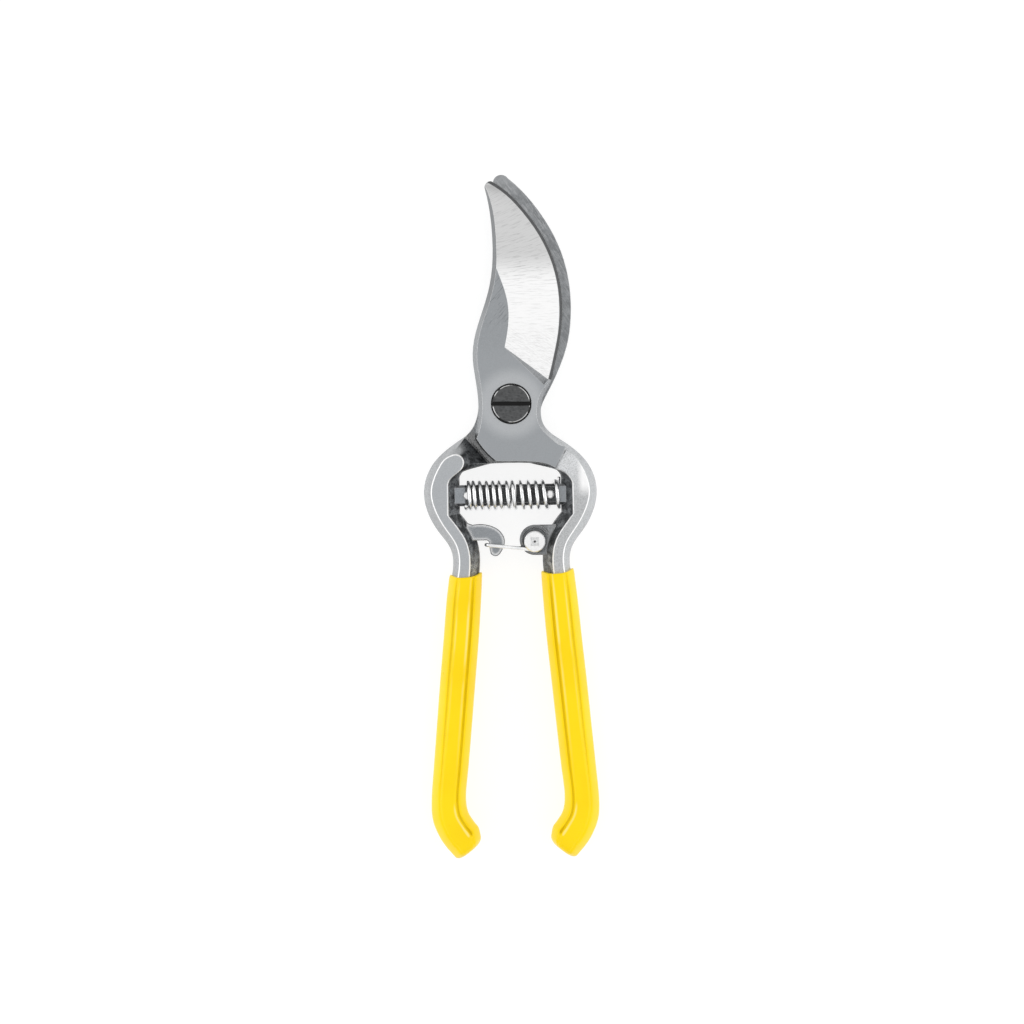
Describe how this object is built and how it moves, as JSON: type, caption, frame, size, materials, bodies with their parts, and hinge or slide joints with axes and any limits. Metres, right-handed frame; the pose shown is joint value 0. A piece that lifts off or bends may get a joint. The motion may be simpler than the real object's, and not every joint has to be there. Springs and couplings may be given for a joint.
{
  "type": "bypass pruner",
  "caption": "Forged bypass pruner latched shut: curved blade passing a hooked counter blade, slotted pivot screw, return spring, wire latch and yellow dipped vinyl grips.",
  "frame": {"origin": "on the pivot axis, in the outer face of the pivot nut, which is the face it lies on", "axes": "+Y along the tool towards the blade's tip, +Z from the nut towards the slotted bolt head, +X towards the blade arm's handle"},
  "size_m": [0.0519, 0.2056, 0.0144],
  "materials": {
    "blade_steel": "blasted forging with a ground neck and a bright ground bevel",
    "hook_steel": "blasted forging with ground faces",
    "yellow_vinyl": "glossy dipped vinyl",
    "black_oxide": "black oxide, satin",
    "zinc_plate": "zinc plated",
    "bright_wire": "bright nickel plated spring wire",
    "bright_pin": "bright plated steel"
  },
  "bodies": {
    "hook_half": {"hook_arm": "hook_steel", "left_grip": "yellow_vinyl", "left_spring_pin": "bright_pin", "return_spring": "bright_wire", "pivot_bolt": "black_oxide", "pivot_washer": "zinc_plate", "pivot_nut": "zinc_plate"},
    "blade_half": {"blade_arm": "blade_steel", "right_grip": "yellow_vinyl", "right_spring_pin": "bright_pin", "latch_rivet": "bright_pin", "latch_washer": "bright_pin"},
    "latch": {"latch_wire": "bright_wire"}
  },
  "joints": [
    {"name": "arm_opening", "type": "hinge", "parent": "hook_half", "child": "blade_half", "pos_m": [0, 0, 0.00818], "axis": [0, 0, 1], "range_deg": [-4, 26], "deforming": ["return_spring", "latch_wire"]},
    {"name": "latch_swing", "type": "hinge", "parent": "blade_half", "child": "latch", "pos_m": [0.0064, -0.0414, 0.00818], "axis": [0, 0, 1], "range_deg": [0, 80]}
  ]
}
